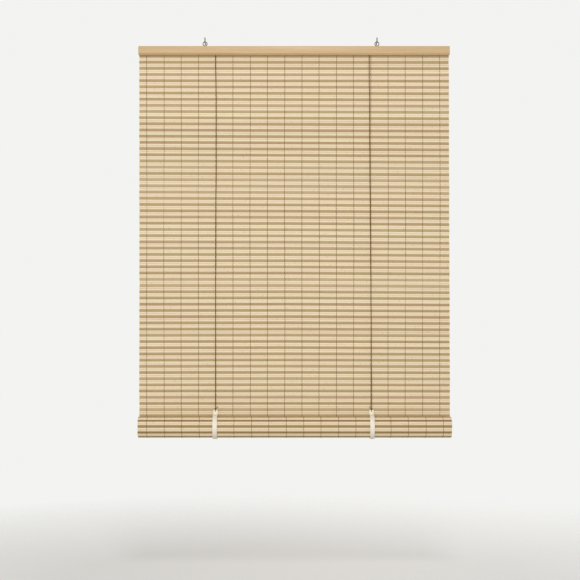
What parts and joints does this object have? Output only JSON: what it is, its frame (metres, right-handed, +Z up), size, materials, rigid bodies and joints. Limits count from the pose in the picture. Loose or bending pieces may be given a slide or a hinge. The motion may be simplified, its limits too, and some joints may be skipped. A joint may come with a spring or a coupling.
{
  "type": "roll-up blind",
  "caption": "Roll-up window blind of oval bamboo slats bound by thin threads, on a wooden headrail, held half raised by corded clips and hung from screw hooks.",
  "frame": {"origin": "midway between the two hook shanks, where they enter the wall plane", "axes": "+Z up, +Y into the wall along the hook shanks, +X to the right seen from the room"},
  "size_m": [0.9145, 0.0924, 1.1769],
  "materials": {
    "rail_wood": "satin stained wood",
    "bamboo": "split bamboo in two light tones and one dark",
    "core_wood": "plain wood",
    "warp_cotton": "thin brown thread",
    "cord_cotton": "twisted dark brown cord",
    "clip_plastic": "off-white, softly matte",
    "hook_zinc": "zinc plated",
    "eye_brass": "dull brass plated",
    "staple_steel": "bright wire"
  },
  "bodies": {
    "hung_blind": {"headrail": "rail_wood", "left_screw_eye": "eye_brass", "right_screw_eye": "eye_brass", "left_hook": "hook_zinc", "right_hook": "hook_zinc", "mat_staples": "staple_steel", "hanging_slats": "bamboo", "warp_thread_01": "warp_cotton", "warp_thread_02": "warp_cotton", "warp_thread_03": "warp_cotton", "warp_thread_04": "warp_cotton", "warp_thread_05": "warp_cotton", "warp_thread_06": "warp_cotton", "warp_thread_07": "warp_cotton", "warp_thread_08": "warp_cotton", "warp_thread_09": "warp_cotton", "warp_thread_10": "warp_cotton", "warp_thread_11": "warp_cotton", "warp_thread_12": "warp_cotton", "warp_thread_13": "warp_cotton", "warp_thread_14": "warp_cotton", "warp_thread_15": "warp_cotton", "warp_thread_16": "warp_cotton", "warp_thread_17": "warp_cotton", "warp_thread_18": "warp_cotton", "left_cord": "cord_cotton", "right_cord": "cord_cotton", "left_top_knot": "cord_cotton", "right_top_knot": "cord_cotton"},
    "clips": {"left_clip": "clip_plastic", "right_clip": "clip_plastic", "left_knot": "cord_cotton", "right_knot": "cord_cotton"},
    "roll": {"rolled_slats": "bamboo", "rolled_threads": "warp_cotton", "core_rod": "core_wood"}
  },
  "joints": [
    {"name": "roll_lift", "type": "slide", "parent": "hung_blind", "child": "clips", "axis": [0, 0, 1], "range_m": [0, 1.03], "deforming": ["hanging_slats", "warp_thread_01", "warp_thread_02", "warp_thread_03", "warp_thread_04", "warp_thread_05", "warp_thread_06", "warp_thread_07", "warp_thread_08", "warp_thread_09", "warp_thread_10", "warp_thread_11", "warp_thread_12", "warp_thread_13", "warp_thread_14", "warp_thread_15", "warp_thread_16", "warp_thread_17", "warp_thread_18", "left_cord", "right_cord"]},
    {"name": "roll_turn", "type": "hinge", "parent": "clips", "child": "roll", "pos_m": [0, -0.04139, -1.12737], "axis": [-1, 0, 0], "range_deg": [0, 1800]}
  ],
  "couplings": [
    {"joint": "roll_turn", "follows": "roll_lift", "rad_per_m": 30.5}
  ]
}
